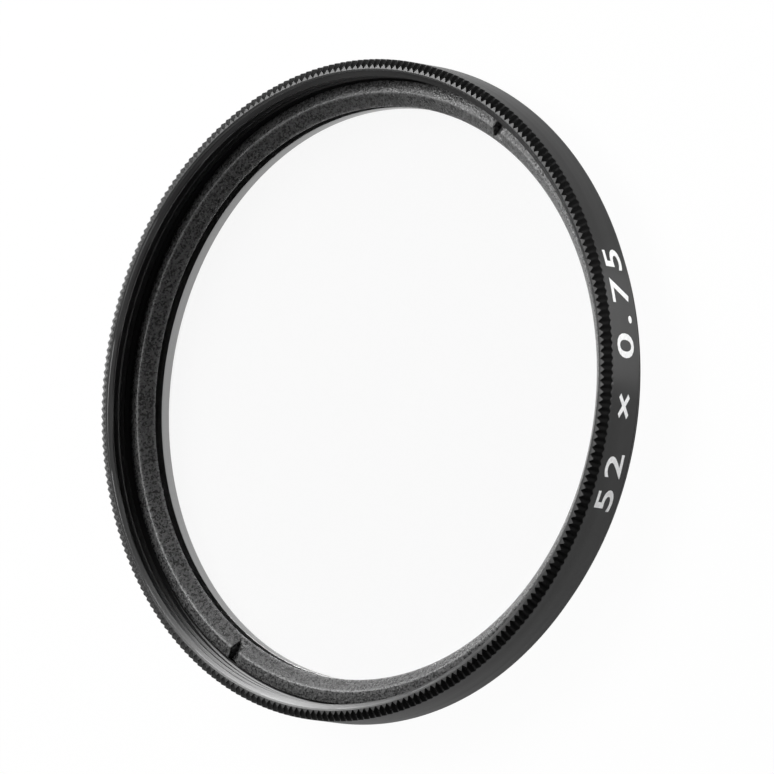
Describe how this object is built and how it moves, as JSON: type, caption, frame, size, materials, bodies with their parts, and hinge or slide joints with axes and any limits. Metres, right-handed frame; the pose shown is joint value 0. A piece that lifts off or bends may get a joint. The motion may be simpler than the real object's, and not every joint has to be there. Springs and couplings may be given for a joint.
{
  "type": "screw-in lens filter",
  "caption": "Round screw-in lens filter: a knurled black frame, threaded in front and behind, holds a clear glass disc under a slotted retaining ring.",
  "frame": {"origin": "on the optical axis, at the rear end face of the male thread, which the filter lies on", "axes": "+Z along the optical axis towards the front, +X through one spanner notch of the retaining ring"},
  "size_m": [0.054, 0.054, 0.0058],
  "materials": {
    "anodised_frame": "black anodised, satin",
    "clear_glass": "polished, clear",
    "blasted_ring": "black anodised over a blasted grain"
  },
  "bodies": {
    "root": {"filter_ring": "anodised_frame", "filter_glass": "clear_glass", "retaining_ring": "blasted_ring"}
  },
  "joints": []
}
